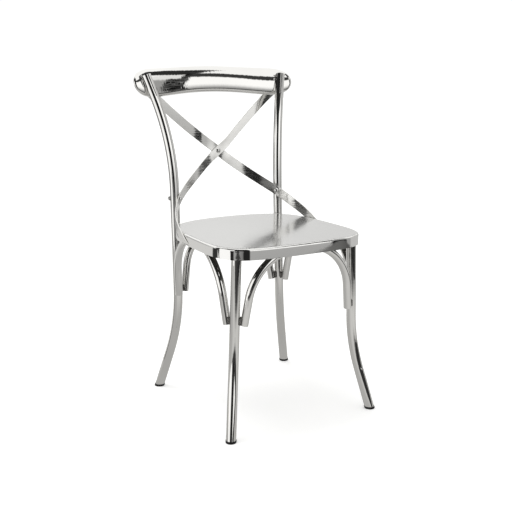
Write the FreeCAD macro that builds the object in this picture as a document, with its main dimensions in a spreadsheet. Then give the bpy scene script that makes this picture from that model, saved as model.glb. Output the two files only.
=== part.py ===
import FreeCAD, Part
import os, math
import Sketcher
from FreeCAD import Vector as V, Placement, Rotation, Matrix

# Cross-back bistro chair in bent steel tube and sheet.
# Millimetres, +Z up, the chair faces -Y, X = 0 is the plane of symmetry, Z = 0 is the floor.

os.makedirs("parts", exist_ok=True)
doc = FreeCAD.newDocument("cross_back_chair")
sheet = doc.addObject("Spreadsheet::Sheet", "Sizes")

CELLS = [
    # legs and uprights
    ("tube_od", 25.0), ("tube_wall", 1.2), ("foot_rise", 6.0),
    ("front_foot_x", 210.3), ("front_foot_y", -242.2),
    ("front_bend_x", 177.0), ("front_bend_y", -195.9), ("front_bend_z", 178.0), ("front_bend_radius", 500.0),
    ("front_top_x", 167.3), ("front_top_y", -196.2),
    ("back_foot_x", 208.7), ("back_foot_y", 185.8),
    ("back_low_x", 163.5), ("back_low_y", 142.8), ("back_low_z", 193.2), ("back_low_radius", 534.0),
    ("back_high_x", 162.8), ("back_high_y", 162.3), ("back_high_z", 685.9), ("back_high_radius", 680.0),
    ("back_top_x", 209.3), ("back_top_y", 222.0), ("back_top_z", 862.0),
    # braces
    ("brace_od", 20.5), ("brace_wall", 1.0), ("brace_end_z", 277.5), ("brace_splay", 8.0),
    ("brace_radius", 136.0), ("rear_brace_radius", 130.0), ("joint_gap", 0.05),
    # seat
    ("seat_top_z", 470.7), ("seat_sheet", 1.2), ("seat_skirt", 28.7), ("seat_edge_radius", 6.0),
    ("dish_depth", 2.6), ("dish_radius", 158.0), ("dish_centre_y", -30.0),
    # straps and their fasteners
    ("strap_width", 24.5), ("strap_thick", 3.0), ("strap_corner", 0.8), ("cross_z", 653.0), ("cross_y", 215.0),
    ("rivet_shank", 6.0), ("rivet_head", 13.6), ("rivet_dome", 3.4),
    ("bolt_shank", 6.0), ("bolt_head", 14.4), ("bolt_dome", 4.2), ("bolt_z", 537.5), ("hole_clear", 0.5),
    ("nut_body", 11.5), ("nut_length", 8.0),
    # crest rail
    ("crest_half", 245.0), ("crest_bow_radius", 640.0), ("crest_mid_y", 267.5), ("crest_mid_z", 850.0),
    ("crest_high", 36.6), ("crest_swell", 4.8), ("crest_deep", 14.6), ("crest_tilt", 17.5), ("crest_wall", 1.2),
    # foot caps
    ("cap_over", 1.0), ("plug_length", 18.0),
    # moves the finished chair so that its box is centred on the origin
    ("centre_y", -15.0),
]
for i, (alias, value) in enumerate(CELLS, start=1):
    sheet.set("A%d" % i, alias)
    sheet.set("B%d" % i, repr(value))
    sheet.setAlias("B%d" % i, alias)
doc.recompute()


def S(alias):
    return float(sheet.get(alias))


TOP = []          # (object, node name)
CY = S("centre_y")


def node(obj, name):
    obj.Label = name
    obj.Placement = Placement(V(0, CY, 0), Rotation())
    TOP.append((obj, name))
    return obj


def axes(origin, zdir, xdir):
    z = V(zdir); z.normalize()
    x = V(xdir) - z * V(xdir).dot(z); x.normalize()
    y = z.cross(x)
    m = Matrix(x.x, y.x, z.x, origin.x, x.y, y.y, z.y, origin.y, x.z, y.z, z.z, origin.z, 0, 0, 0, 1)
    return Placement(m)


def new_body(name):
    b = doc.addObject("PartDesign::Body", name)
    doc.recompute()
    return b


def base_plane(body, role="XY_Plane"):
    for f in body.Origin.OriginFeatures:
        if f.Role == role:
            return f
    raise RuntimeError(role)


def sketch(body, name, place):
    sk = body.newObject("Sketcher::SketchObject", name)
    sk.AttachmentSupport = [(base_plane(body), "")]
    sk.MapMode = "FlatFace"
    sk.AttachmentOffset = place
    return sk


def circle(sk, x, y, r, expr=None, label=None):
    g = sk.addGeometry(Part.Circle(V(x, y, 0), V(0, 0, 1), r), False)
    if abs(x) < 1e-9 and abs(y) < 1e-9:
        sk.addConstraint(Sketcher.Constraint("Coincident", g, 3, -1, 1))
    c = sk.addConstraint(Sketcher.Constraint("Radius", g, r))
    if label:
        sk.renameConstraint(c, label)
    if expr:
        sk.setExpression("Constraints[%d]" % c, expr)
    return g


def rectangle(sk, x0, y0, x1, y1):
    p = [V(x0, y0, 0), V(x1, y0, 0), V(x1, y1, 0), V(x0, y1, 0)]
    for k in range(4):
        sk.addGeometry(Part.LineSegment(p[k], p[(k + 1) % 4]), False)
    for k in range(4):
        sk.addConstraint(Sketcher.Constraint("Coincident", k, 2, (k + 1) % 4, 1))


def route(points, radii):
    """Straight runs joined by tangent arcs, as sampled geometry in the plane of the bends."""
    a = (points[1] - points[0]); a.normalize()
    b = points[2] - points[1]
    w = b - a * b.dot(a); w.normalize()
    n = w.cross(a)
    plane = axes(points[0], n, w)           # sketch x = w, sketch y = a
    inv = plane.inverse()
    q = [inv.multVec(p) for p in points]
    q = [V(p.x, p.y, 0) for p in q]
    items, start = [], q[0]
    for k in range(1, len(q) - 1):
        d0 = q[k] - q[k - 1]; d0.normalize()
        d1 = q[k + 1] - q[k]; d1.normalize()
        turn = d0.getAngle(d1)
        t = radii[k - 1] * math.tan(turn / 2)
        s, e = q[k] - d0 * t, q[k] + d1 * t
        mid = d1 - d0; mid.normalize()
        c = q[k] + mid * (radii[k - 1] / math.cos(turn / 2))
        m = c - mid * radii[k - 1]
        items.append(("line", start, s))
        items.append(("arc", s, m, e, radii[k - 1]))
        start = e
    items.append(("line", start, q[-1]))
    return plane, items


def tube(name, points, radii, od_alias, wall_alias, radius_aliases=None):
    body = new_body(name + "_body")
    plane, items = route(points, radii)
    sk = sketch(body, name + "_path", plane)
    for it in items:
        if it[0] == "line":
            sk.addGeometry(Part.LineSegment(it[1], it[2]), False)
        else:
            sk.addGeometry(Part.Arc(it[1], it[2], it[3]), False)
    d = points[1] - points[0]
    side = points[2] - points[1]
    pr = sketch(body, name + "_section", axes(points[0], d, side))
    od, wall = S(od_alias), S(wall_alias)
    circle(pr, 0, 0, od / 2, "Sizes.%s / 2" % od_alias, "outer")
    circle(pr, 0, 0, od / 2 - wall, "Sizes.%s / 2 - Sizes.%s" % (od_alias, wall_alias), "bore")
    doc.recompute()
    pipe = body.newObject("PartDesign::AdditivePipe", name + "_pipe")
    pipe.Profile = (pr, [""])
    pipe.Spine = (sk, [""])
    pipe.Mode = "Standard"
    doc.recompute()
    return body


def cut_level(body, name, z, below=True, reach=80.0, box=(-320, -320, 320, 320)):
    sk = sketch(body, name, Placement(V(0, 0, z), Rotation()))
    rectangle(sk, *box)
    p = body.newObject("PartDesign::Pocket", name + "_cut")
    p.Profile = sk
    p.Length = reach
    p.Reversed = not below
    doc.recompute()
    return p


def cross_hole(body, name, place, radius, length, expr=None):
    sk = sketch(body, name, place)
    circle(sk, 0, 0, radius, expr, "hole")
    p = body.newObject("PartDesign::Pocket", name + "_cut")
    p.Profile = sk
    p.Midplane = True
    p.Length = length
    doc.recompute()
    return p


# ---------------------------------------------------------------- leg lines
def front_line(s):
    return [V(s * S("front_foot_x"), S("front_foot_y"), 0), V(s * S("front_bend_x"), S("front_bend_y"), S("front_bend_z")),
            V(s * S("front_top_x"), S("front_top_y"), S("seat_top_z"))]


def back_line(s):
    return [V(s * S("back_foot_x"), S("back_foot_y"), 0), V(s * S("back_low_x"), S("back_low_y"), S("back_low_z")),
            V(s * S("back_high_x"), S("back_high_y"), S("back_high_z")), V(s * S("back_top_x"), S("back_top_y"), S("back_top_z"))]


def lengthen(points, at_start=0.0, at_end=0.0):
    p = [V(q) for q in points]
    d = p[0] - p[1]; d.normalize(); p[0] = p[0] + d * at_start
    d = p[-1] - p[-2]; d.normalize(); p[-1] = p[-1] + d * at_end
    return p


def at_level(points, radii, z):
    """Centre of a bent tube at height z (walks the real line, arcs included)."""
    plane, items = route(points, radii)
    pts = []
    for it in items:
        if it[0] == "line":
            pts += [it[1] + (it[2] - it[1]) * (k / 20.0) for k in range(21)]
        else:
            arc = Part.Arc(it[1], it[2], it[3]); u0, u1 = arc.FirstParameter, arc.LastParameter
            pts += [arc.value(u0 + (u1 - u0) * k / 60.0) for k in range(61)]
    pts = [plane.multVec(p) for p in pts]
    best = None
    for a, b in zip(pts, pts[1:]):
        lo, hi = min(a.z, b.z), max(a.z, b.z)
        if lo <= z <= hi and hi - lo > 1e-6:
            f = (z - a.z) / (b.z - a.z)
            d = (b - a) if b.z > a.z else (a - b)
            d.normalize()
            best = (a + (b - a) * f, d)
    return best


BR = [S("back_low_radius"), S("back_high_radius")]
FR = [S("front_bend_radius")]

# ---------------------------------------------------------------- strap line (one strap; the other mirrors it)
bolt_c, bolt_d = at_level(back_line(1), BR, S("bolt_z"))
RT = S("tube_od") / 2
ST = S("strap_thick")
# plan and height of the strap that falls from upper left to lower right: (z, x, y)
STRAP = [
    (828.0, -206.5, 236.5), (812.0, -188.5, 239.6), (795.0, -169.0, 241.2), (770.0, -140.7, 240.4),
    (740.0, -106.6, 236.3), (710.0, -71.7, 229.3), (690.0, -47.5, 222.6), (676.0, -30.0, 217.6),
    (668.5, -20.0, 215.55), (661.0, -10.2, 215.0), (653.0, 0.0, 215.0), (645.0, 10.3, 215.0), (637.5, 20.0, 214.6),
    (629.5, 30.5, 212.3), (616.0, 48.0, 206.6), (600.0, 69.0, 196.8), (580.0, 96.0, 184.0), (560.0, 123.5, 168.4),
    (537.5, 152.4, 145.9), (520.0, 171.0, 124.9), (503.0, 186.0, 101.5), (487.0, 197.6, 76.0),
    (470.0, 204.0, 46.5), (455.0, 207.0, 20.0), (440.0, 208.0, -7.0), (430.0, 208.2, -25.0),
]


def strap_line(side, shift):
    """side +1: falls to the right (+X); side -1: its mirror. shift moves the crossing fore and aft."""
    pts = []
    for z, x, y in STRAP:
        f = math.exp(-(max(0.0, abs(x) - 20.0) / 32.0) ** 2)
        pts.append(V(side * x, y + shift * f, z))
    return pts


def strap_frames(pts):
    curve = Part.BSplineCurve()
    curve.interpolate(pts)
    out = []
    for p in pts:
        u = curve.parameter(p)
        t = curve.tangent(u)[0]
        if t.z > 0:
            t = t * -1
        flat = V(t.x, t.y, 0)
        flat.normalize()
        # face normal: level, square to the plan line, looking to the front / inside
        n = V(0, 0, 1).cross(flat)
        if n.y > 0 and abs(n.y) > abs(n.x):
            n = n * -1
        out.append((p, t, n))
    # keep the normals on one side all the way
    for k in range(1, len(out)):
        if out[k][2].dot(out[k - 1][2]) < 0:
            out[k] = (out[k][0], out[k][1], out[k][2] * -1)
    return out


def strap_section(body, name, p, t, n):
    sk = sketch(body, name, axes(p, t, n))
    w, h, c = S("strap_thick") / 2, S("strap_width") / 2, S("strap_corner")
    # rounded rectangle, thickness along x, width along y
    P = [V(-w + c, -h, 0), V(w - c, -h, 0), V(w, -h + c, 0), V(w, h - c, 0), V(w - c, h, 0), V(-w + c, h, 0), V(-w, h - c, 0), V(-w, -h + c, 0)]
    k = c * (1 - math.sqrt(0.5))
    mids = {1: V(w - k, -h + k, 0), 3: V(w - k, h - k, 0), 5: V(-w + k, h - k, 0), 7: V(-w + k, -h + k, 0)}
    for j in range(8):
        a, b = P[j], P[(j + 1) % 8]
        if j in mids:
            sk.addGeometry(Part.Arc(a, mids[j], b), False)
        else:
            sk.addGeometry(Part.LineSegment(a, b), False)
    for j in range(8):
        sk.addConstraint(Sketcher.Constraint("Coincident", j, 2, (j + 1) % 8, 1))
    return sk


def strap_body(name, side, shift):
    body = new_body(name + "_body")
    pts = strap_line(side, shift)
    fr = strap_frames(pts)
    sks = [strap_section(body, "%s_s%02d" % (name, k), p, t, n) for k, (p, t, n) in enumerate(fr)]
    doc.recompute()
    loft = body.newObject("PartDesign::AdditiveLoft", name + "_loft")
    loft.Profile = (sks[0], [""])
    loft.Sections = [(q, [""]) for q in sks[1:]]
    loft.Ruled = False
    loft.Closed = False
    doc.recompute()
    return body, fr


# ---------------------------------------------------------------- legs
legs, leg_solids = {}, {}
for s, side in ((-1, "left"), (1, "right")):
    line = back_line(s)
    b = tube(side + "_back_leg", lengthen(line, 12.0), BR, "tube_od", "tube_wall")
    cut_level(b, side + "_back_leg_foot", S("foot_rise"))
    # the top is closed with a disc welded in just below the rim, its edge let into the wall
    d = line[3] - line[2]; d.normalize()
    sk = sketch(b, side + "_back_leg_top", axes(line[3] - d * 0.3, d * -1, V(1, 0, 0)))
    circle(sk, 0, 0, RT - S("tube_wall") + 0.4, "Sizes.tube_od / 2 - Sizes.tube_wall + 0.4", "disc")
    pd = b.newObject("PartDesign::Pad", side + "_back_leg_disc")
    pd.Profile = sk
    pd.Length = 1.5
    pd.setExpression("Length", "Sizes.tube_wall")
    doc.recompute()
    # bolt hole, square to the strap face
    c, dd = at_level(line, BR, S("bolt_z"))
    legs[side + "_back_leg"] = (b, line, c)

for s, side in ((-1, "left"), (1, "right")):
    line = front_line(s)
    b = tube(side + "_front_leg", lengthen(line, 12.0, 10.0), FR, "tube_od", "tube_wall")
    cut_level(b, side + "_front_leg_foot", S("foot_rise"))
    cut_level(b, side + "_front_leg_head", S("seat_top_z") - S("seat_sheet"), below=False)
    legs[side + "_front_leg"] = (b, line, None)

# ---------------------------------------------------------------- straps
# the strap that falls to the left passes in front at the crossing
half = ST / 2 + 0.08
rear_body, rear_fr = strap_body("rear_cross_strap", 1, half)
front_body, front_fr = strap_body("front_cross_strap", -1, -half)


def bolt_axis(side):
    """Centre of the bolted joint on the tube axis, and the direction towards the strap face."""
    fr = rear_fr if side > 0 else front_fr
    k = min(range(len(fr)), key=lambda j: abs(fr[j][0].z - S("bolt_z")))
    p, t, n = fr[k]
    c = legs[("right" if side > 0 else "left") + "_back_leg"][2]
    if (p - c).dot(n) < 0:
        n = n * -1
    return c, n, p


for s, side in ((-1, "left"), (1, "right")):
    c, n, p = bolt_axis(s)
    r = S("bolt_shank") / 2 + S("hole_clear") / 2
    expr = "Sizes.bolt_shank / 2 + Sizes.hole_clear / 2"
    cross_hole(legs[side + "_back_leg"][0], side + "_bolt_hole", axes(c, n, V(0, 0, 1)), r, 60.0, expr)
    cross_hole(rear_body if s > 0 else front_body, side + "_strap_hole", axes(p, n, V(0, 0, 1)), r, 12.0, expr)
for b, nm in ((rear_body, "rear"), (front_body, "front")):
    cross_hole(b, nm + "_rivet_hole", axes(V(0, S("cross_y"), S("cross_z")), V(0, -1, 0), V(1, 0, 0)), S("rivet_shank") / 2, 24.0, "Sizes.rivet_shank / 2")
    cut_level(b, nm + "_strap_end", S("seat_top_z") - 24.0, reach=60.0)

for side in ("left", "right"):
    node(legs[side + "_back_leg"][0], side + "_back_leg")
    node(legs[side + "_front_leg"][0], side + "_front_leg")

def rod(points, radii, r):
    """The same route as a solid rod, for trimming."""
    plane, items = route(points, radii)
    edges = []
    for it in items:
        e = Part.LineSegment(it[1], it[2]).toShape() if it[0] == "line" else Part.Arc(it[1], it[2], it[3]).toShape()
        e.Placement = plane
        edges.append(e)
    ring = Part.Wire([Part.Circle(points[0], points[1] - points[0], r).toShape()])
    return Part.Wire(edges).makePipeShell([ring], True, True)


RODS = {}
for s, side in ((-1, "left"), (1, "right")):
    RODS[side + "_back_leg"] = rod(back_line(s), BR, RT)
    RODS[side + "_front_leg"] = rod(front_line(s), FR, RT)

# ---------------------------------------------------------------- crest rail
def crest_stations(full):
    xs = [0.0, 35.0, 70.0, 105.0, 140.0, 165.0]
    for deg in (20, 28, 36, 44, 52, 60, 67, 73, 78, 82, 85.5):
        xs.append(full * (math.sin(math.radians(deg)) ** 2) ** (1.0 / 9.0))
    return [-x for x in reversed(xs[1:])] + xs


def crest_place(x):
    r = S("crest_bow_radius")
    y = S("crest_mid_y") - r + math.sqrt(r * r - x * x)
    z = S("crest_mid_z") - 9.5 * (1 - math.cos(math.pi * min(abs(x) / 230.0, 1.0))) / 2
    psi = math.asin(x / r)
    out = V(math.sin(psi), math.cos(psi), 0)            # square to the bow, to the back
    th = math.radians(S("crest_tilt"))
    up = V(0, 0, math.cos(th)) + out * math.sin(th)
    along = V(math.cos(psi), -math.sin(psi), 0)
    return V(x, y, z), up, along


def crest_wire(x, inset, full):
    f = math.sqrt(max(1e-9, 1 - (abs(x) / full) ** 9))
    a = (S("crest_high") + S("crest_swell") * min(abs(x) / 200.0, 1.0) ** 3 - inset) * f
    b = (S("crest_deep") - inset) * f
    c, up, along = crest_place(x)
    side = up.cross(along)
    n = 24
    pts = []
    for k in range(n):
        t = 2 * math.pi * k / n
        cu, su = math.cos(t), math.sin(t)
        e = 0.92                                        # slightly fuller than an ellipse
        pu = a * math.copysign(abs(cu) ** e, cu)
        ps = b * math.copysign(abs(su) ** e, su)
        pts.append(c + up * pu + side * ps)
    bs = Part.BSplineCurve()
    bs.interpolate(pts, PeriodicFlag=True)
    return Part.Wire([bs.toShape()])


def crest_solid(inset):
    full = S("crest_half") - 2 * inset
    return Part.makeLoft([crest_wire(x, inset, full) for x in crest_stations(full)], True, False)


crest_outer = crest_solid(0.0)
crest_inner = crest_solid(S("crest_wall"))
shell = crest_outer.cut(crest_inner)
for s in (-1, 1):
    shell = shell.cut(RODS[("left" if s < 0 else "right") + "_back_leg"])
solids = sorted(shell.Solids, key=lambda q: -q.Volume)
crest = doc.addObject("Part::Feature", "crest_rail_shape")
crest.Shape = solids[0]
node(crest, "crest_rail")
print("crest solids", [round(q.Volume, 1) for q in shell.Solids], crest_outer.BoundBox)

# straps: the upper ends are trimmed to the crest rail
crest_block = doc.addObject("Part::Feature", "crest_outline")
crest_block.Shape = crest_outer
for b, nm in ((front_body, "front_cross_strap"), (rear_body, "rear_cross_strap")):
    cut = b.Shape.cut(crest_outer)
    parts = sorted(cut.Solids, key=lambda q: -q.Volume)
    print(nm, "pieces", [round(q.Volume, 1) for q in parts])
    o = doc.addObject("Part::Feature", nm + "_shape")
    o.Shape = parts[0]
    node(o, nm)

# ---------------------------------------------------------------- seat pan
OUTLINE = [(0.0, -239.0), (50.0, -238.4), (98.0, -236.0), (138.0, -230.0), (170.0, -217.0), (192.5, -194.0),
           (205.0, -161.0), (209.0, -121.0), (208.6, -75.0), (207.0, -30.0), (205.3, 5.0), (203.2, 35.0),
           (199.2, 62.0), (192.0, 88.0), (180.9, 112.6), (168.1, 130.7), (150.5, 146.4), (126.3, 159.5),
           (99.5, 168.8), (70.0, 175.1), (36.0, 178.8)]


def outline_points(inset):
    pts = [V(x, y, 0) for x, y in OUTLINE]
    pts = pts + [V(0, 180.0, 0)] + [V(-p.x, p.y, 0) for p in reversed(pts[1:])]
    if inset:
        n = len(pts)
        out = []
        for k, p in enumerate(pts):
            d = pts[(k + 1) % n] - pts[k - 1]
            q = V(-d.y, d.x, 0)
            q.normalize()
            out.append(p + q * inset)
        pts = out
    return pts


def seat_block(name, inset, top, edge, bottom):
    body = new_body(name)
    sk = sketch(body, name + "_outline", Placement(V(0, 0, bottom), Rotation()))
    bs = Part.BSplineCurve()
    bs.interpolate(outline_points(inset), PeriodicFlag=True)
    sk.addGeometry(bs, False)
    pad = body.newObject("PartDesign::Pad", name + "_pad")
    pad.Profile = sk
    pad.Length = top - bottom
    doc.recompute()
    best = None
    for k, e in enumerate(pad.Shape.Edges, start=1):
        bb = e.BoundBox
        if abs(bb.ZMin - top) < 1e-4 and abs(bb.ZMax - top) < 1e-4 and bb.DiagonalLength > 100:
            best = "Edge%d" % k
    fl = body.newObject("PartDesign::Fillet", name + "_edge")
    fl.Base = (pad, [best])
    fl.Radius = edge
    doc.recompute()
    # shallow dish, turned about an upright axis, level with the top at its rim
    depth, rad, yc = S("dish_depth"), S("dish_radius"), S("dish_centre_y")
    gs = sketch(body, name + "_dish", axes(V(0, yc, top), V(0, -1, 0), V(1, 0, 0)))
    # sketch x = +X, sketch y = +Z
    prof = []
    for k in range(17):
        r = rad * k / 16.0
        prof.append(V(r, -depth * (1 + math.cos(math.pi * k / 16.0)) / 2, 0))
    c = Part.BSplineCurve()
    c.interpolate(prof, InitialTangent=V(1, 0, 0), FinalTangent=V(1, 0, 0))
    gs.addGeometry(c, False)
    lift = 6.0
    gs.addGeometry(Part.LineSegment(V(rad, 0, 0), V(rad, lift, 0)), False)
    gs.addGeometry(Part.LineSegment(V(rad, lift, 0), V(0, lift, 0)), False)
    gs.addGeometry(Part.LineSegment(V(0, lift, 0), V(0, -depth, 0)), False)
    for k in range(4):
        gs.addConstraint(Sketcher.Constraint("Coincident", k, 2, (k + 1) % 4, 1))
    gr = body.newObject("PartDesign::Groove", name + "_groove")
    gr.Profile = gs
    gr.ReferenceAxis = (gs, ["V_Axis"])
    gr.Angle = 360.0
    doc.recompute()
    return body


ztop, thick = S("seat_top_z"), S("seat_sheet")
zlow = ztop - S("seat_skirt")
seat_out = seat_block("seat_outside", 0.0, ztop, S("seat_edge_radius"), zlow)
seat_in = seat_block("seat_inside", thick, ztop - thick, S("seat_edge_radius") - thick, zlow - 5.0)
seat = doc.addObject("Part::Cut", "seat_pan_shape")
seat.Base = seat_out
seat.Tool = seat_in
doc.recompute()
node(seat, "seat_pan")

# ---------------------------------------------------------------- braces
BE = S("brace_end_z")
gap = RT + S("brace_od") / 2 + S("joint_gap")
fleg = at_level(front_line(1), FR, BE)[0]
bleg = at_level(back_line(1), BR, BE)[0]


def beside(leg, dx, dy):
    d = V(dx, dy, 0)
    d.normalize()
    return V(leg.x + d.x * gap, leg.y + d.y * gap, BE)


def mirror(p):
    return V(-p.x, p.y, p.z)


E_front = beside(fleg, -0.868, -0.497)
E_side_f = beside(fleg, 0.432, 0.902)
E_side_b = beside(bleg, 0.319, -0.948)
E_rear = beside(bleg, -0.983, 0.185)
APEX = ztop - thick - S("brace_od") / 2 - 0.1


BOWS = {}


def bow(name, e1, e2, out, lean, radius):
    up = V(out.x * lean, out.y * lean, 1.0)
    rise = APEX - BE
    along = e2 - e1
    half_span = along.Length / 2
    along.normalize()
    inset = rise * math.sqrt(1 + lean * lean) * math.tan(math.radians(S("brace_splay")))
    c1 = e1 + up * rise + along * inset
    c2 = e2 + up * rise - along * inset
    b = tube(name, [e1, c1, c2, e2], [radius, radius], "brace_od", "brace_wall")
    BOWS[name] = ([e1, c1, c2, e2], radius)
    return node(b, name)


bow("front_brace", mirror(E_front), E_front, V(0, -1, 0), 0.098, S("brace_radius"))
d_side = (E_side_b - E_side_f)
for s, nm in ((-1, "left_side_brace"), (1, "right_side_brace")):
    f = lambda p: V(s * p.x, p.y, p.z)
    out = V(s * 1.0, 0.0446, 0)
    out.normalize()
    bow(nm, f(E_side_f), f(E_side_b), out, 0.082, S("brace_radius"))
bow("rear_brace", mirror(E_rear), E_rear, V(0, 1, 0), 0.076, S("rear_brace_radius"))

# ---------------------------------------------------------------- foot caps
def foot_cap(name, line):
    d = line[1] - line[0]
    d.normalize()
    r = RT + S("cap_over")
    base = V(line[0])
    start = base - d * 30
    sleeve = Part.makeCylinder(r, 90.0, start, d)
    slab = Part.makeBox(120, 120, S("foot_rise"), V(base.x - 60, base.y - 60, 0))
    cap = sleeve.common(slab)
    low = [e for e in cap.Edges if e.BoundBox.ZMax < 0.01]
    cap = cap.makeFillet(1.4, low)
    top = [e for e in cap.Edges if e.BoundBox.ZMin > S("foot_rise") - 0.01]
    cap = cap.makeFillet(0.6, top)
    plug = Part.makeCylinder(RT - S("tube_wall") - 0.02, S("plug_length") + 14.0, base - d * 2.0, d)
    plug = plug.common(Part.makeBox(160, 160, 60, V(base.x - 80, base.y - 80, 2.0)))
    shape = cap.fuse(plug).removeSplitter()
    o = doc.addObject("Part::Feature", name + "_shape")
    o.Shape = shape
    return node(o, name)


for s, side in ((-1, "left"), (1, "right")):
    foot_cap(side + "_front_foot_cap", front_line(s))
    foot_cap(side + "_back_foot_cap", back_line(s))

# ---------------------------------------------------------------- rivet, bolts, nuts
def turned(name, profile, expr=None):
    """Solid of revolution about local Z; profile points (r, z)."""
    body = new_body(name)
    sk = sketch(body, name + "_half", axes(V(0, 0, 0), V(0, -1, 0), V(1, 0, 0)))
    n = len(profile)
    k = 0
    geo = 0
    while k < n:
        item = profile[k]
        nxt = profile[(k + 1) % n]
        if len(item) == 4:            # arc to the next point through a middle point
            sk.addGeometry(Part.Arc(V(item[0], item[1], 0), V(item[2], item[3], 0), V(nxt[0], nxt[1], 0)), False)
        else:
            sk.addGeometry(Part.LineSegment(V(item[0], item[1], 0), V(nxt[0], nxt[1], 0)), False)
        geo += 1
        k += 1
    for j in range(geo):
        sk.addConstraint(Sketcher.Constraint("Coincident", j, 2, (j + 1) % geo, 1))
    rv = body.newObject("PartDesign::Revolution", name + "_turn")
    rv.Profile = sk
    rv.ReferenceAxis = (sk, ["V_Axis"])
    rv.Angle = 360.0
    doc.recompute()
    return body


def dome(r, h, z0, sign=1):
    """Three values of a dome edge: rim (r, z0), a middle point, crown (0, z0 + h)."""
    big = (r * r + h * h) / (2 * h)
    a = math.asin(min(1.0, r / big)) / 2
    return big * math.sin(a), z0 + sign * (h - big * (1 - math.cos(a)))


cy, cz = S("cross_y"), S("cross_z")
reach = ST + 0.10                       # half of the two bars at the crossing, in front and behind
rs, rh, rd = S("rivet_shank") / 2, S("rivet_head") / 2, S("rivet_dome")
m1 = dome(rh, rd, reach + 0.5)
m2 = dome(rh, rd, -(reach + 0.5), -1)
rivet = turned("cross_rivet_body", [
    (0, -(reach + 0.5) - rd, m2[0], m2[1]), (rh, -(reach + 0.5)), (rh, -reach), (rs, -reach), (rs, reach),
    (rh, reach), (rh, reach + 0.5, m1[0], m1[1]), (0, reach + 0.5 + rd)])
rv = doc.addObject("Part::Feature", "cross_rivet_shape")
sh = rivet.Shape.copy()
sh.Placement = axes(V(0, cy, cz), V(0, -1, 0), V(1, 0, 0))
rv.Shape = Part.makeCompound([sh])
node(rv, "cross_rivet")

bs_, bh, bd = S("bolt_shank") / 2, S("bolt_head") / 2, S("bolt_dome")
c0, n0, p0 = bolt_axis(1)
face = (p0 - c0).dot(n0) + ST / 2 + 0.25    # outer strap face, measured from the tube axis (the bar is bowed under the head)
nut_seat = -RT                          # far side of the tube
end = nut_seat - S("nut_length") + 1.6
mb = dome(bh, bd, face + 0.8)
bolt = turned("upright_bolt_body", [
    (0, end), (bs_, end), (bs_, face), (bh, face), (bh, face + 0.8, mb[0], mb[1]), (0, face + 0.8 + bd)])
nb, nl = S("nut_body") / 2, S("nut_length")
mn = dome(nb - 0.6, 2.6, nut_seat - nl + 2.6, -1)
nut = turned("upright_nut_body", [
    (bs_, nut_seat), (bs_, end - 0.1), (0, end - 0.1), (0, nut_seat - nl, mn[0], mn[1]), (nb - 0.6, nut_seat - nl + 2.6),
    (nb, nut_seat - nl + 3.4), (nb, nut_seat - 1.2), (nb + 1.6, nut_seat - 1.2), (nb + 1.6, nut_seat)])
for src, nm in ((bolt, "upright_bolts"), (nut, "upright_nuts")):
    group = []
    for s in (-1, 1):
        c, n, p = bolt_axis(s)
        q = src.Shape.copy()
        q.Placement = axes(c, n, V(0, 0, 1))
        if nm == "upright_nuts":
            leg = legs[("right" if s > 0 else "left") + "_back_leg"][0].Shape.copy()
            leg.Placement = Placement()
            q = q.cut(leg)
            q = sorted(q.Solids, key=lambda w: -w.Volume)[0]
        group.append(q)
    o = doc.addObject("Part::Feature", nm + "_shape")
    o.Shape = Part.makeCompound(group)
    node(o, nm)

# ---------------------------------------------------------------- weld beads
def plain(obj):
    q = obj.Shape.copy()
    q.Placement = Placement()
    return q


def solid_of(label):
    for o, nm in TOP:
        if nm == label:
            return plain(o)
    raise RuntimeError(label)


def bead(points, r, cutters):
    """A short run of weld: a rounded rod along the points, trimmed to what it joins."""
    parts = []
    for a, b in zip(points, points[1:]):
        d = b - a
        parts.append(Part.makeCylinder(r, d.Length, a, d))
    for p in points:
        parts.append(Part.makeSphere(r, p))
    q = parts[0].fuse(parts[1:]) if len(parts) > 1 else parts[0]
    for c in cutters:
        q = q.cut(c)
    best = sorted(q.Solids, key=lambda w: -w.Volume)
    return best[0] if best else None


def bead_node(name, beads):
    o = doc.addObject("Part::Feature", name + "_shape")
    o.Shape = Part.makeCompound([b for b in beads if b is not None])
    return node(o, name)


# brace ends to legs: a short bead in each crevice
beads = []
RB = S("brace_od") / 2
for name, (pts, rad) in BOWS.items():
    brod = rod(pts, [rad, rad], RB)
    for end in (0, 1):
        p = pts if end == 0 else list(reversed(pts))
        left = p[0].x < 0
        leg = ("left" if left else "right") + ("_front_leg" if p[0].y < 0 else "_back_leg")
        line = (front_line if p[0].y < 0 else back_line)(-1 if left else 1)
        radii = FR if p[0].y < 0 else BR
        d = p[1] - p[0]
        for sg in (-1, 1):
            run = []
            for z in (BE + 5.0, BE + 17.0):
                a = at_level(line, radii, z)[0]
                b = p[0] + d * ((z - p[0].z) / d.z)
                u = b - a
                gapd = u.Length
                u.normalize()
                w = V(-u.y, u.x, 0)
                run.append(a + u * (RT + (gapd - RT - RB) / 2) + w * (sg * 6.6))
            beads.append(bead(run, 3.3, [RODS[leg], brod]))
bead_node("brace_end_welds", beads)

# brace tops to the underside of the seat
seat_solid = plain(seat)
beads = []
for name, (pts, rad) in BOWS.items():
    brod = rod(pts, [rad, rad], RB)
    mid = (pts[1] + pts[2]) * 0.5
    u = pts[2] - pts[1]
    u.normalize()
    inward = V(-mid.x, -mid.y, 0)
    inward = inward - u * inward.dot(u)
    inward.normalize()
    c = mid + inward * 6.4 + V(0, 0, RB - 0.3)
    beads.append(bead([c - u * 11, c + u * 11], 3.0, [brod, seat_solid, Part.makeBox(700, 700, 40, V(-350, -350, ztop - thick + 0.0))]))
bead_node("brace_top_welds", beads)

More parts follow.
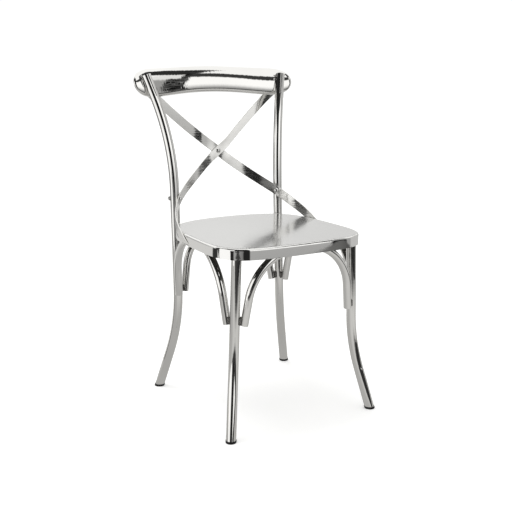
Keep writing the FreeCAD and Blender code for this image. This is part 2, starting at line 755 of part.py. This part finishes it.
# front leg tops to the underside of the seat
beads = []
for s, side in ((-1, "left"), (1, "right")):
    c, d = at_level(front_line(s), FR, ztop - thick - 2.0)
    cone = Part.makeCone(RT - 1.0, RT + 4.2, 5.2, V(c.x, c.y, ztop - thick - 5.2), V(0, 0, 1))
    q = cone.cut(RODS[side + "_front_leg"])
    q = q.cut(seat_solid)
    beads.append(sorted(q.Solids, key=lambda w: -w.Volume)[0])
bead_node("front_leg_welds", beads)

# back legs to the seat skirt
beads = []
for s, side in ((-1, "left"), (1, "right")):
    line = back_line(s)
    for sg in (-1, 1):
        run = []
        for z in (zlow + 4.0, ztop - 8.0):
            a = at_level(line, BR, z)[0]
            v = Part.Vertex(V(a.x, a.y, z))
            near = v.distToShape(seat_solid)[1][0][1]
            u = near - a
            u.z = 0
            g = u.Length
            u.normalize()
            w = V(-u.y, u.x, 0)
            run.append(a + u * (RT + (g - RT) * 0.5) + w * (sg * 6.2))
        beads.append(bead(run, 3.6, [RODS[side + "_back_leg"], seat_solid]))
bead_node("back_leg_welds", beads)

# uprights to the crest rail: two tacks on each side
beads = []
for s, side in ((-1, "left"), (1, "right")):
    line = back_line(s)
    d = line[3] - line[2]
    d.normalize()
    for z in (848.0, 858.5):
        t = line[3] + d * ((z - line[3].z) / d.z)
        for sg in (-1, 1):
            x = t.x + sg * (RT + 1.3)
            ray = Part.LineSegment(V(x, t.y - 40, z), V(x, t.y + 60, z)).toShape()
            hit = ray.common(crest_outer)
            if hit.Edges:
                beads.append(bead([V(x, hit.BoundBox.YMin + 0.2, z)], 3.1, [RODS[side + "_back_leg"], crest_outer]))
bead_node("crest_welds", beads)

# strap ends: to the seat skirt below, to the crest rail above
low, high = [], []
for s, nm, fr in ((1, "rear_cross_strap", rear_fr), (-1, "front_cross_strap", front_fr)):
    strap = solid_of(nm)
    bb = [v.Point for v in strap.Vertexes if v.Point.z < S("seat_top_z") - 23.5]
    ys = sorted(p.y for p in bb)
    z = S("seat_top_z") - 24.0
    run = []
    for f in (0.15, 0.5, 0.85):
        y = ys[0] + (ys[-1] - ys[0]) * f
        ray = Part.LineSegment(V(s * 150, y, z - 2.0), V(s * 260, y, z - 2.0)).toShape()
        hit = ray.common(seat_solid).BoundBox
        x = hit.XMax if s > 0 else hit.XMin
        run.append(V(x + s * 0.8, y, z - 0.4))
    low.append(bead(run, 2.2, [seat_solid, strap]))
    # above: on the rear face where the bar enters the rail
    ends = [v.Point for v in strap.Vertexes if v.Point.z > 795]
    k = min(range(len(fr)), key=lambda j: abs(fr[j][0].z - 812.0))
    p, t, n = fr[k]
    back = n * (-1 if n.y < 0 else 1)
    w = t.cross(n)
    w.normalize()
    run = []
    for f in (-7.0, 7.0):
        base = p + w * f + back * (ST / 2 + 0.4)
        ray = Part.LineSegment(base + t * 40, base - t * 60).toShape()
        hit = ray.common(crest_outer)
        if hit.Edges:
            q = sorted(hit.Vertexes, key=lambda v: v.Point.z)[0].Point
            run.append(q)
    if len(run) == 2:
        high.append(bead(run, 2.4, [crest_outer, strap]))
bead_node("strap_foot_welds", low)
if high:
    bead_node("strap_head_welds", high)

# ---------------------------------------------------------------- checks and files
doc.recompute()
for o in doc.Objects:
    if "Invalid" in o.State or "Error" in o.State:
        raise RuntimeError("failed: " + o.Name)
total = None
for o, name in TOP:
    sh = o.Shape
    if sh.isNull() or not sh.isValid() or not sh.Solids:
        raise RuntimeError("bad shape: " + name)
    sh.exportStep("parts/%s.step" % name)
    bb = sh.optimalBoundingBox()
    print("%-22s solids %2d  volume %9.0f  x %7.1f %7.1f  y %7.1f %7.1f  z %6.1f %6.1f" % (
        name, len(sh.Solids), sh.Volume, bb.XMin, bb.XMax, bb.YMin, bb.YMax, bb.ZMin, bb.ZMax))
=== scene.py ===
import bpy, bmesh, math
from mathutils import Matrix, Vector

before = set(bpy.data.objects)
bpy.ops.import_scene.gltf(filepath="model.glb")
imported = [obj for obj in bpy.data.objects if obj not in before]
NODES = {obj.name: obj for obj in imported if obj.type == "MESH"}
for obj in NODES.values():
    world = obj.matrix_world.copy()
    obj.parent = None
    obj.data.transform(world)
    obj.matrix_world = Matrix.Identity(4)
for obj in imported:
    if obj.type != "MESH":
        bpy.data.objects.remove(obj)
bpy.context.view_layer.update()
scene = bpy.context.scene

# ------------------------------------------------------------------ camera
AZ, EL, DIST, ROLL = math.radians(-30.29), math.radians(13.07), 2.260, math.radians(0.137)
target = Vector((0.0, -0.015, 0.3903))
back = Vector((math.sin(AZ) * math.cos(EL), -math.cos(AZ) * math.cos(EL), math.sin(EL)))
fwd = -back
right = fwd.cross(Vector((0, 0, 1))).normalized()
up = right.cross(fwd)
r2 = right * math.cos(ROLL) + up * math.sin(ROLL)
u2 = up * math.cos(ROLL) - right * math.sin(ROLL)
cam_data = bpy.data.cameras.new("camera")
cam = bpy.data.objects.new("camera", cam_data)
scene.collection.objects.link(cam)
m = Matrix((r2, u2, back)).transposed().to_4x4()
m.translation = target + back * DIST
cam.matrix_world = m
cam_data.sensor_width = 36.0
cam_data.lens = 843.2 * 36.0 / 512.0
cam_data.clip_end = 60.0
scene.camera = cam

scene.view_settings.view_transform = "Standard"
scene.view_settings.look = "None"
scene.view_settings.exposure = 0.0
scene.view_settings.gamma = 1.0


# ------------------------------------------------------------------ node helpers
def new_mat(name):
    mat = bpy.data.materials.new(name)
    mat.use_nodes = True
    nt = mat.node_tree
    nt.nodes.clear()
    out = nt.nodes.new("ShaderNodeOutputMaterial")
    bsdf = nt.nodes.new("ShaderNodeBsdfPrincipled")
    nt.links.new(bsdf.outputs[0], out.inputs[0])
    return mat, nt, bsdf


def coords(nt, rot=(0, 0, 0), scale=(1, 1, 1)):
    tc = nt.nodes.new("ShaderNodeTexCoord")
    mp = nt.nodes.new("ShaderNodeMapping")
    mp.inputs["Rotation"].default_value = rot
    mp.inputs["Scale"].default_value = scale
    nt.links.new(tc.outputs["Object"], mp.inputs["Vector"])
    return mp.outputs["Vector"]


def noise(nt, vec, scale, detail=3.0, rough=0.5):
    n = nt.nodes.new("ShaderNodeTexNoise")
    n.inputs["Scale"].default_value = scale
    n.inputs["Detail"].default_value = detail
    n.inputs["Roughness"].default_value = rough
    nt.links.new(vec, n.inputs["Vector"])
    return n.outputs["Fac"]


def remap(nt, val, a, b, lo, hi):
    m = nt.nodes.new("ShaderNodeMapRange")
    m.inputs["From Min"].default_value = a
    m.inputs["From Max"].default_value = b
    m.inputs["To Min"].default_value = lo
    m.inputs["To Max"].default_value = hi
    nt.links.new(val, m.inputs["Value"])
    return m.outputs["Result"]


def math_node(nt, op, a, b=None):
    m = nt.nodes.new("ShaderNodeMath")
    m.operation = op
    for k, v in enumerate((a, b)):
        if v is None:
            continue
        if isinstance(v, (int, float)):
            m.inputs[k].default_value = v
        else:
            nt.links.new(v, m.inputs[k])
    return m.outputs[0]


def ramp(nt, val, stops):
    r = nt.nodes.new("ShaderNodeValToRGB")
    e = r.color_ramp.elements
    while len(e) > 1:
        e.remove(e[-1])
    e[0].position, e[0].color = stops[0][0], (*stops[0][1], 1)
    for p, c in stops[1:]:
        x = e.new(p)
        x.color = (*c, 1)
    nt.links.new(val, r.inputs["Fac"])
    return r.outputs["Color"]


def bump(nt, bsdf, height, strength, dist, normal=None):
    b = nt.nodes.new("ShaderNodeBump")
    b.inputs["Strength"].default_value = strength
    b.inputs["Distance"].default_value = dist
    nt.links.new(height, b.inputs["Height"])
    if normal is not None:
        nt.links.new(normal, b.inputs["Normal"])
    nt.links.new(b.outputs[0], bsdf.inputs["Normal"])
    return b.outputs[0]


def smooth(nt, val, a, b, lo=0.0, hi=1.0):
    m = nt.nodes.new("ShaderNodeMapRange")
    m.interpolation_type = "SMOOTHSTEP"
    m.inputs["From Min"].default_value = a
    m.inputs["From Max"].default_value = b
    m.inputs["To Min"].default_value = lo
    m.inputs["To Max"].default_value = hi
    nt.links.new(val, m.inputs["Value"])
    return m.outputs["Result"]


def span(nt, val, a, b, soft):
    """1 between a and b, 0 outside, each end faded over soft."""
    m = None
    if a is not None:
        m = smooth(nt, val, a - soft / 2, a + soft / 2)
    if b is not None:
        k = smooth(nt, val, b - soft / 2, b + soft / 2, 1.0, 0.0)
        m = k if m is None else math_node(nt, "MULTIPLY", m, k)
    return m


def lay(nt, under, mask, value):
    """value over under where mask is 1."""
    m = nt.nodes.new("ShaderNodeMix")
    m.data_type = "FLOAT"
    nt.links.new(mask, m.inputs[0])
    for k, v in ((2, under), (3, value)):
        if isinstance(v, (int, float)):
            m.inputs[k].default_value = v
        else:
            nt.links.new(v, m.inputs[k])
    return m.outputs[0]


def greys(nt, val, stops, lo, hi):
    """A smooth run of greys over val from lo to hi."""
    f = remap(nt, val, lo, hi, 0.0, 1.0)
    r = nt.nodes.new("ShaderNodeValToRGB")
    e = r.color_ramp.elements
    while len(e) > 1:
        e.remove(e[-1])
    for k, (p, g) in enumerate(stops):
        x = e[0] if k == 0 else e.new((p - lo) / (hi - lo))
        x.position = (p - lo) / (hi - lo)
        x.color = (g, g, g, 1)
    nt.links.new(f, r.inputs["Fac"])
    s = nt.nodes.new("ShaderNodeSeparateColor")
    nt.links.new(r.outputs["Color"], s.inputs[0])
    return s.outputs[0]


# ------------------------------------------------------------------ finishes
def plated(name, tone=(0.81, 0.803, 0.783), rough=(0.015, 0.045), wave=0.12):
    """Polished nickel-like plating: faint smears, fine polishing lines, a slight waviness."""
    mat, nt, b = new_mat(name)
    b.inputs["Metallic"].default_value = 1.0
    v = coords(nt)
    big = noise(nt, v, 9.0, 3.0)
    fine = noise(nt, v, 260.0, 2.0)
    col = ramp(nt, big, [(0.30, tuple(c * 0.93 for c in tone)), (0.70, tone)])
    nt.links.new(col, b.inputs["Base Color"])
    mixed = math_node(nt, "ADD", math_node(nt, "MULTIPLY", big, 0.6), math_node(nt, "MULTIPLY", fine, 0.4))
    nt.links.new(remap(nt, mixed, 0.35, 0.65, *rough), b.inputs["Roughness"])
    w = noise(nt, v, 38.0, 2.0)
    n1 = bump(nt, b, w, wave, 0.0010)
    bump(nt, b, fine, 0.03, 0.0002, n1)
    return mat


def tilt(nt, base, ox=None, oz=None):
    """base normal leaned by small amounts along X and Z, renormalised."""
    cmb = nt.nodes.new("ShaderNodeCombineXYZ")
    for k, v in ((0, ox), (2, oz)):
        if v is not None:
            if isinstance(v, (int, float)):
                cmb.inputs[k].default_value = v
            else:
                nt.links.new(v, cmb.inputs[k])
    add = nt.nodes.new("ShaderNodeVectorMath")
    add.operation = "ADD"
    nt.links.new(base, add.inputs[0])
    nt.links.new(cmb.outputs[0], add.inputs[1])
    nrm = nt.nodes.new("ShaderNodeVectorMath")
    nrm.operation = "NORMALIZE"
    nt.links.new(add.outputs[0], nrm.inputs[0])
    return nrm.outputs[0]


def brushed(name, along, bend_x, bend_z, tone=(0.76, 0.755, 0.735), rough=(0.10, 0.17)):
    """Fine lines along the bar; bend_x and bend_z turn and lean the shading normal, in radians over X in metres. They are tuned to where reflections fall, not measured."""
    mat, nt, b = new_mat(name)
    b.inputs["Metallic"].default_value = 1.0
    a = math.radians(along)
    v = coords(nt, rot=(0, a, 0), scale=(5.0, 30.0, 620.0))
    lines = noise(nt, v, 1.0, 3.0, 0.6)
    v2 = coords(nt)
    big = noise(nt, v2, 14.0, 3.0)
    col = ramp(nt, lines, [(0.30, tuple(c * 0.92 for c in tone)), (0.70, tone)])
    nt.links.new(col, b.inputs["Base Color"])
    mixed = math_node(nt, "ADD", math_node(nt, "MULTIPLY", big, 0.5), math_node(nt, "MULTIPLY", lines, 0.5))
    nt.links.new(remap(nt, mixed, 0.35, 0.65, *rough), b.inputs["Roughness"])
    geo = nt.nodes.new("ShaderNodeNewGeometry")
    sep = nt.nodes.new("ShaderNodeSeparateXYZ")
    nt.links.new(coords(nt), sep.inputs[0])
    streak = remap(nt, lines, 0.25, 0.75, -0.045, 0.045)
    turn = math_node(nt, "ADD", streak, math_node(nt, "SUBTRACT", greys(nt, sep.outputs[0], [(x, 0.5 + g) for x, g in bend_x], -0.22, 0.22), 0.5))
    spin = nt.nodes.new("ShaderNodeVectorRotate")
    spin.rotation_type = "Z_AXIS"
    nt.links.new(geo.outputs["Normal"], spin.inputs["Vector"])
    nt.links.new(turn, spin.inputs["Angle"])
    oz = math_node(nt, "SUBTRACT", greys(nt, sep.outputs[0], [(x, 0.5 + g) for x, g in bend_z], -0.22, 0.22), 0.5)
    n0 = tilt(nt, spin.outputs[0], None, oz)
    bump(nt, b, lines, 0.06, 0.0002, n0)
    return mat


def satin_seat(name, tone=(0.80, 0.795, 0.78), top_tone=(0.585, 0.583, 0.573)):
    """Satin top, polished skirt, unpolished underside darkened as painted shade."""
    mat, nt, b = new_mat(name)
    v = coords(nt)
    big = noise(nt, v, 5.0, 4.0)
    grit = noise(nt, v, 900.0, 2.0)
    geo = nt.nodes.new("ShaderNodeNewGeometry")
    nz = nt.nodes.new("ShaderNodeSeparateXYZ")
    nt.links.new(geo.outputs["Normal"], nz.inputs[0])
    is_top = smooth(nt, nz.outputs[2], 0.75, 0.97)
    under_unpolished_painted_shade = smooth(nt, nz.outputs[2], -0.30, -0.70)
    top_col = ramp(nt, big, [(0.30, tuple(c * 0.96 for c in top_tone)), (0.70, top_tone)])
    side_col = ramp(nt, big, [(0.30, tuple(c * 0.96 for c in tone)), (0.70, tone)])
    mixc = nt.nodes.new("ShaderNodeMix")
    mixc.data_type = "RGBA"
    nt.links.new(is_top, mixc.inputs[0])
    nt.links.new(side_col, mixc.inputs[6])
    nt.links.new(top_col, mixc.inputs[7])
    mixd = nt.nodes.new("ShaderNodeMix")
    mixd.data_type = "RGBA"
    nt.links.new(under_unpolished_painted_shade, mixd.inputs[0])
    nt.links.new(mixc.outputs[2], mixd.inputs[6])
    # underside colour: unpolished metal, darkened near black as painted shade under the seat
    nt.links.new(ramp(nt, big, [(0.3, (0.05, 0.048, 0.045)), (0.7, (0.09, 0.086, 0.08))]), mixd.inputs[7])
    nt.links.new(mixd.outputs[2], b.inputs["Base Color"])
    mixed = math_node(nt, "ADD", math_node(nt, "MULTIPLY", big, 0.6), math_node(nt, "MULTIPLY", grit, 0.4))
    r_top = remap(nt, mixed, 0.35, 0.65, 0.12, 0.17)
    r_side = remap(nt, mixed, 0.35, 0.65, 0.02, 0.05)
    nt.links.new(lay(nt, lay(nt, r_side, is_top, r_top), under_unpolished_painted_shade, 0.55), b.inputs["Roughness"])
    nt.links.new(lay(nt, 1.0, is_top, 0.80), b.inputs["Metallic"])
    is_side = smooth(nt, nz.outputs[2], 0.5, 0.2)
    pos = nt.nodes.new("ShaderNodeSeparateXYZ")
    nt.links.new(v, pos.inputs[0])
    turn = math_node(nt, "MULTIPLY", is_side, math_node(nt, "SUBTRACT", greys(nt, pos.outputs[0], [(-0.20, 0.5), (0.10, 0.5), (0.140, 0.45), (0.168, 0.44), (0.190, 0.48), (0.20, 0.5)], -0.22, 0.22), 0.5))
    spin = nt.nodes.new("ShaderNodeVectorRotate")
    spin.rotation_type = "Z_AXIS"
    nt.links.new(geo.outputs["Normal"], spin.inputs["Vector"])
    nt.links.new(turn, spin.inputs["Angle"])
    flat = nt.nodes.new("ShaderNodeMix")
    flat.data_type = "VECTOR"
    flat.clamp_factor = False
    nt.links.new(math_node(nt, "MULTIPLY", is_top, 1.15), flat.inputs[0])
    nt.links.new(spin.outputs[0], flat.inputs[4])
    flat.inputs[5].default_value = (0, 0, 1)
    n0 = tilt(nt, flat.outputs[1], None, math_node(nt, "MULTIPLY", is_side, 0.035))
    soft = noise(nt, v, 16.0, 2.0)
    n1 = bump(nt, b, soft, 0.05, 0.0015, n0)
    bump(nt, b, grit, 0.03, 0.00012, n1)
    return mat


def bead_metal(name, lo=(0.30, 0.295, 0.28), hi=(0.55, 0.545, 0.53)):
    mat, nt, b = new_mat(name)
    b.inputs["Metallic"].default_value = 1.0
    v = coords(nt)
    lump = noise(nt, v, 420.0, 3.0)
    big = noise(nt, v, 60.0, 2.0)
    col = ramp(nt, big, [(0.35, lo), (0.65, hi)])
    nt.links.new(col, b.inputs["Base Color"])
    nt.links.new(remap(nt, lump, 0.3, 0.7, 0.16, 0.34), b.inputs["Roughness"])
    bump(nt, b, lump, 0.45, 0.0006)
    return mat


def black_plastic(name):
    mat, nt, b = new_mat(name)
    v = coords(nt)
    grain = noise(nt, v, 1100.0, 2.0)
    scuff = noise(nt, v, 70.0, 4.0, 0.7)
    col = ramp(nt, scuff, [(0.45, (0.006, 0.006, 0.0065)), (0.75, (0.018, 0.0175, 0.017))])
    nt.links.new(col, b.inputs["Base Color"])
    nt.links.new(remap(nt, scuff, 0.3, 0.7, 0.38, 0.55), b.inputs["Roughness"])
    b.inputs["Specular IOR Level"].default_value = 0.25
    bump(nt, b, grain, 0.25, 0.0002)
    return mat


M = {
    "tube": plated("plated_tube"),
    "crest": plated("plated_crest", rough=(0.02, 0.05), wave=0.10),
    "fastener": plated("plated_fastener", tone=(0.74, 0.735, 0.72), rough=(0.08, 0.14), wave=0.03),
    "strap_front": brushed("brushed_strap_front", -40.0,
                           [(-0.20, 0), (-0.090, 0), (-0.066, -0.20), (-0.048, -0.16), (-0.030, -0.10), (0.000, -0.03), (0.020, -0.14), (0.035, -0.30),
                            (0.065, -0.30), (0.100, -0.19), (0.134, -0.10), (0.152, 0.06), (0.166, 0.16), (0.180, 0.21), (0.195, 0.24)],
                           [(-0.20, 0), (-0.040, 0), (-0.020, 0.09), (0.130, 0.09), (0.150, 0), (0.20, 0)]),
    "strap_rear": brushed("brushed_strap_rear", 40.0,
                          [(-0.20, 0), (-0.075, 0), (-0.062, -0.075), (-0.050, -0.075), (-0.034, 0.10), (0.045, 0.19), (0.064, 0.19), (0.080, 0.09),
                           (0.130, 0.06), (0.146, 0.01), (0.159, -0.14), (0.171, -0.14), (0.180, -0.25), (0.191, -0.23), (0.199, -0.06), (0.206, 0.0)],
                          [(-0.20, 0), (-0.035, 0), (-0.020, 0.08), (0.066, 0.08), (0.080, 0), (0.20, 0)]),
    "seat": satin_seat("satin_seat"),
    "weld": bead_metal("weld_beads", (0.50, 0.49, 0.47), (0.78, 0.775, 0.76)),
    # dark copy of the weld finish for the brace ends, brace tops and strap foot: painted shade in those joints
    "weld_painted_shade": bead_metal("weld_beads_painted_shade", (0.08, 0.075, 0.07), (0.22, 0.215, 0.205)),
    "cap": black_plastic("cap_black"),
}
FINISH = {
    "left_back_leg": "tube", "right_back_leg": "tube", "left_front_leg": "tube", "right_front_leg": "tube",
    "crest_rail": "crest", "front_cross_strap": "strap_front", "rear_cross_strap": "strap_rear", "seat_pan": "seat",
    "front_brace": "tube", "left_side_brace": "tube", "right_side_brace": "tube", "rear_brace": "tube",
    "left_front_foot_cap": "cap", "left_back_foot_cap": "cap", "right_front_foot_cap": "cap", "right_back_foot_cap": "cap",
    "cross_rivet": "fastener", "upright_bolts": "fastener", "upright_nuts": "fastener",
    "brace_end_welds": "weld_painted_shade", "brace_top_welds": "weld_painted_shade", "front_leg_welds": "weld", "back_leg_welds": "weld",
    "crest_welds": "weld", "strap_foot_welds": "weld_painted_shade", "strap_head_welds": "weld",
}
for name, o in NODES.items():
    mat = M[FINISH[name]]
    if not o.material_slots:
        o.data.materials.append(mat)
    for sl in o.material_slots:
        sl.material = mat

# ------------------------------------------------------------------ studio
# azimuth 0 is in front of the chair, 90 on its +X side; the plating mirrors a white tent with dark gaps
world = bpy.data.worlds.new("room")
scene.world = world
world.use_nodes = True
wn = world.node_tree
wn.nodes.clear()
wo = wn.nodes.new("ShaderNodeOutputWorld")
wc = wn.nodes.new("ShaderNodeTexCoord")
ws = wn.nodes.new("ShaderNodeSeparateXYZ")
wn.links.new(wc.outputs["Generated"], ws.inputs[0])
DEG = 180.0 / math.pi
AZW = math_node(wn, "MULTIPLY", math_node(wn, "ARCTAN2", ws.outputs[0], math_node(wn, "MULTIPLY", ws.outputs[1], -1.0)), DEG)
AZB = math_node(wn, "MULTIPLY", math_node(wn, "ARCTAN2", math_node(wn, "MULTIPLY", ws.outputs[0], -1.0), ws.outputs[1]), DEG)
ELW = math_node(wn, "MULTIPLY", math_node(wn, "ARCSINE", ws.outputs[2]), DEG)


def light_patch(under, az, el, value, soft_az=3.0, soft_el=3.0, from_back=False):
    m = None
    for v, rng, soft in ((AZB if from_back else AZW, az, soft_az), (ELW, el, soft_el)):
        if rng is None:
            continue
        k = span(wn, v, rng[0], rng[1], soft)
        m = k if m is None else math_node(wn, "MULTIPLY", m, k)
    return lay(wn, under, m, value)


v = light_patch(1.18, None, (None, -2), 0.62, soft_el=16)                                     # low walls
back_light = math_node(wn, "MULTIPLY", greys(wn, ELW, [(-14, 0.34), (1, 0.42), (8, 0.93), (18, 1.18)], -14, 18), smooth(wn, AZB, -38, -27, 0.86, 1.0))
v = light_patch(v, (-71, 49), (None, 16), back_light, 8, 5, True)   # back
v = light_patch(v, (53.5, 112), (None, 30), 0.62, 3, 8)                                       # right wall
v = light_patch(v, (53.5, 61), (-30, 27), 0.40, 2, 4)
v = light_patch(v, (-7, 41.5), (-40, 31), greys(wn, ELW, [(-36, 0.25), (-22, 0.32), (-12, 0.40), (-6, 0.55), (-1, 0.76), (5, 1.05), (12, 1.26), (31, 1.26)], -36, 31), 4, 1.5)   # right softbox
v = light_patch(v, (-7, 45), (31, 40.5), 0.05, 4, 2.5)                                        # gap over it
mottle = remap(wn, noise(wn, wc.outputs["Generated"], 16.0, 3.0), 0.45, 0.68, 0.008, 0.16)
v = light_patch(v, (41.5, 53.5), (-32, 52), mottle, 2, 4)                                      # gap beside it
v = light_patch(v, (47.0, 82), (37.5, 53.5), 0.03, 4, 3)
v = light_patch(v, (46.5, 62), (28.5, 37.5), 0.95, 2.5, 2.5)
v = light_patch(v, (-117, -73.5), (-30, 26), 1.22, 3, 3)                                      # left softbox
v = light_patch(v, (-129, -117), (-32, 40), 0.04, 4, 6)                                       # gap behind it
v = light_patch(v, (-73.5, -7), (-35, 60), 0.02, 3, 5)                                        # camera side
v = light_patch(v, (-80, -58), (-4, 25), 1.15, 3, 3)
v = light_patch(v, (-120, -60), (27, 60), 0.02, 6, 4)
v = light_patch(v, (-61, -25), (-22, -5), greys(wn, AZW, [(-61, 0.46), (-45, 0.34), (-25, 0.20)], -61, -25), 5, 6)   # camera stand

bg_seen = wn.nodes.new("ShaderNodeBackground")
bg_seen.inputs["Color"].default_value = (1, 1, 1, 1)
bg_seen.inputs["Strength"].default_value = 1.05
bg_fill = wn.nodes.new("ShaderNodeBackground")
bg_fill.inputs["Color"].default_value = (1, 1, 0.99, 1)
bg_fill.inputs["Strength"].default_value = 0.80
bg_mirror = wn.nodes.new("ShaderNodeBackground")
bg_mirror.inputs["Color"].default_value = (1, 0.998, 0.99, 1)
wn.links.new(v, bg_mirror.inputs["Strength"])
lp = wn.nodes.new("ShaderNodeLightPath")
mg = wn.nodes.new("ShaderNodeMixShader")
wn.links.new(lp.outputs["Is Glossy Ray"], mg.inputs[0])
wn.links.new(bg_fill.outputs[0], mg.inputs[1])
wn.links.new(bg_mirror.outputs[0], mg.inputs[2])
mx = wn.nodes.new("ShaderNodeMixShader")
wn.links.new(lp.outputs["Is Camera Ray"], mx.inputs[0])
wn.links.new(mg.outputs[0], mx.inputs[1])
wn.links.new(bg_seen.outputs[0], mx.inputs[2])
wn.links.new(mx.outputs[0], wo.inputs[0])


def plane(name, x0, y0, x1, y1, z):
    me = bpy.data.meshes.new(name)
    me.from_pydata([(x0, y0, z), (x1, y0, z), (x1, y1, z), (x0, y1, z)], [], [(0, 1, 2, 3)])
    o = bpy.data.objects.new(name, me)
    scene.collection.objects.link(o)
    return o


# floor: matt white paint with a trace of grain, kept out of the mirror rays
floor = plane("floor", -16, -16, 16, 16, 0.0)
fm, fnt, fb = new_mat("floor_paint")
fv = coords(fnt)
fnt.links.new(ramp(fnt, noise(fnt, fv, 3.0), [(0.3, (0.895, 0.895, 0.89)), (0.7, (0.905, 0.905, 0.90))]), fb.inputs["Base Color"])
fb.inputs["Roughness"].default_value = 0.9
fb.inputs["Specular IOR Level"].default_value = 0.0
fb.inputs["Emission Color"].default_value = (1, 1, 1, 1)
fb.inputs["Emission Strength"].default_value = 0.38
floor.data.materials.append(fm)
floor.visible_glossy = False


# soft key light from above and a little behind, for the faint shadows at the feet
top_data = bpy.data.lights.new("top_softbox", "SUN")
top_data.energy = 0.55
top_data.angle = math.radians(28.0)
top = bpy.data.objects.new("top_softbox", top_data)
scene.collection.objects.link(top)
top.rotation_mode = "QUATERNION"
top.rotation_quaternion = Vector((-0.5, 0.9, 3.0)).to_track_quat("Z", "Y")
top.location = (-0.5, 0.9, 3.2)
top.visible_glossy = False

# the floor as the plating mirrors it: a pale sheet that ends a step in front of the chair, dark boards beyond
tone = plane("floor_tone", -2.4, -2.4, 2.4, 2.4, 0.0008)
tm = bpy.data.materials.new("floor_tone_light")
tm.use_nodes = True
tn = tm.node_tree
tn.nodes.clear()
to = tn.nodes.new("ShaderNodeOutputMaterial")
te = tn.nodes.new("ShaderNodeEmission")
tc = tn.nodes.new("ShaderNodeTexCoord")
ts = tn.nodes.new("ShaderNodeSeparateXYZ")
tn.links.new(tc.outputs["Object"], ts.inputs[0])
TX, TY = ts.outputs[0], ts.outputs[1]
taz = math_node(tn, "MULTIPLY", math_node(tn, "ARCTAN2", TX, math_node(tn, "MULTIPLY", TY, -1.0)), DEG)
# the near sheet dips across the band where the chair stands: painted shadow of the chair on the mirrored floor
near_tone_and_painted_shadow = greys(tn, TY, [(-1.2, 0.72), (-0.7, 0.66), (-0.3, 0.50), (0.2, 0.48), (0.8, 0.72), (1.6, 0.76)], -1.2, 1.6)
far = greys(tn, taz, [(-180, 0.62), (-150, 0.70), (-134, 0.45), (-126, 0.22), (-118, 0.30), (-110, 0.62), (-78, 0.62), (-68, 0.06),
                      (-10, 0.05), (2, 0.11), (30, 0.18), (44, 0.16), (56, 0.08), (66, 0.22), (100, 0.45), (125, 0.80), (180, 0.62)], -180, 180)
sheet = math_node(tn, "MULTIPLY", smooth(tn, TY, -1.48, -0.98), smooth(tn, TX, 1.0, 1.5, 1.0, 0.0))
left_side = smooth(tn, taz, -76, -70, 1.0, 0.0)
sheet = math_node(tn, "MAXIMUM", sheet, math_node(tn, "MULTIPLY", left_side, smooth(tn, TY, -1.0, -0.6)))
shade = lay(tn, far, sheet, near_tone_and_painted_shadow)
rad = math_node(tn, "SQRT", math_node(tn, "ADD", math_node(tn, "MULTIPLY", TX, TX), math_node(tn, "MULTIPLY", TY, TY)))
shade = lay(tn, shade, math_node(tn, "MULTIPLY", span(tn, taz, -131, -117, 3), smooth(tn, rad, 0.75, 0.95)), 0.04)
tn.links.new(shade, te.inputs["Strength"])
te.inputs["Color"].default_value = (1, 0.992, 0.975, 1)
tn.links.new(te.outputs[0], to.inputs[0])
tone.data.materials.append(tm)

def reflections_only(o):
    o.visible_camera = False
    o.visible_diffuse = False
    o.visible_shadow = False
    o.visible_transmission = False


reflections_only(tone)

# a low dark board at the front edge of the sheet, seen only in reflections
bm = bmesh.new()
rows = []
for i in range(25):
    a = math.radians(-12 + 74 * i / 24)
    rows.append([bm.verts.new((1.65 * math.sin(a), -1.65 * math.cos(a), z)) for z in (0.0, 0.18)])
for r0, r1 in zip(rows[:-1], rows[1:]):
    bm.faces.new((r0[0], r1[0], r1[1], r0[1]))
me = bpy.data.meshes.new("front_board")
bm.to_mesh(me)
bm.free()
board = bpy.data.objects.new("front_board", me)
scene.collection.objects.link(board)
bmt, bnt, bb = new_mat("board_paint")
bnt.links.new(ramp(bnt, noise(bnt, coords(bnt), 5.0), [(0.3, (0.020, 0.020, 0.021)), (0.7, (0.035, 0.034, 0.034))]), bb.inputs["Base Color"])
bb.inputs["Roughness"].default_value = 0.8
bb.inputs["Specular IOR Level"].default_value = 0.1
me.materials.append(bmt)
reflections_only(board)

scene.cycles.use_denoising = True
